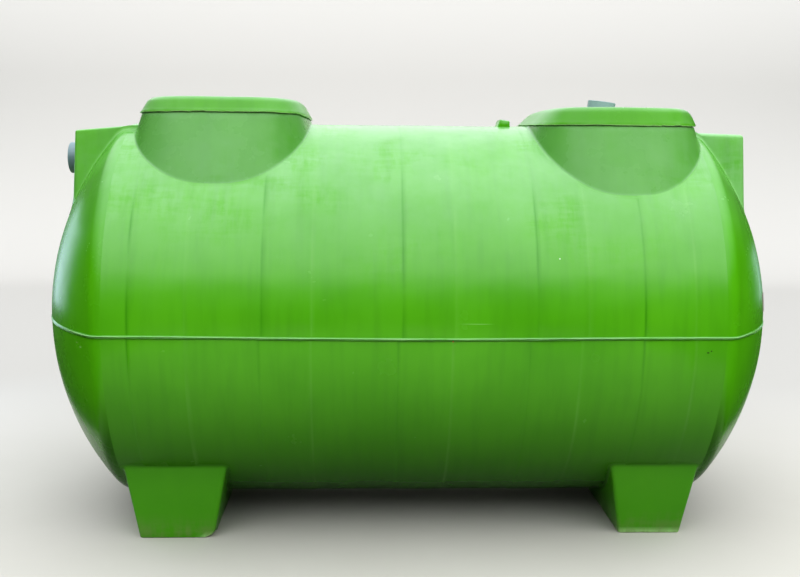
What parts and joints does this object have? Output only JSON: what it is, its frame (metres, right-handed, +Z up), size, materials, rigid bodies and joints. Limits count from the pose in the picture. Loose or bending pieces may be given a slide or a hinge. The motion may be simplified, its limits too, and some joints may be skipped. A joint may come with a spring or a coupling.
{
  "type": "horizontal septic tank",
  "caption": "Horizontal cylindrical tank with dished ends, oval manways with lids, shoulder pipe boxes and cross saddles, for settling household waste water.",
  "frame": {"origin": "on the floor under the middle of the whole object", "axes": "+X along the tank towards the outlet end, -Y is the front, +Z up"},
  "size_m": [2.534, 1.334, 1.4674],
  "materials": {
    "green_gelcoat": "glossy bright green gelcoat on glass fibre laminate",
    "grey_upvc": "satin grey-blue drain pipe"
  },
  "bodies": {
    "root": {"inlet_box": "green_gelcoat", "inlet_end_lower": "green_gelcoat", "inlet_end_upper": "green_gelcoat", "inlet_lid": "green_gelcoat", "inlet_neck": "green_gelcoat", "inlet_pipe": "grey_upvc", "inlet_saddle": "green_gelcoat", "lifting_lug": "green_gelcoat", "lower_band_1_back": "green_gelcoat", "lower_band_1_front": "green_gelcoat", "lower_band_2": "green_gelcoat", "lower_band_3": "green_gelcoat", "lower_band_4": "green_gelcoat", "lower_band_5_back": "green_gelcoat", "lower_band_5_front": "green_gelcoat", "lower_barrel": "green_gelcoat", "lower_flange": "green_gelcoat", "outlet_box": "green_gelcoat", "outlet_end_lower": "green_gelcoat", "outlet_end_upper": "green_gelcoat", "outlet_lid": "green_gelcoat", "outlet_neck": "green_gelcoat", "outlet_pipe": "grey_upvc", "outlet_saddle": "green_gelcoat", "upper_band_1_back": "green_gelcoat", "upper_band_1_front": "green_gelcoat", "upper_band_2": "green_gelcoat", "upper_band_3": "green_gelcoat", "upper_band_4": "green_gelcoat", "upper_band_5_back": "green_gelcoat", "upper_band_5_front": "green_gelcoat", "upper_barrel": "green_gelcoat", "upper_flange": "green_gelcoat", "vent_pipe": "grey_upvc"}
  },
  "joints": []
}
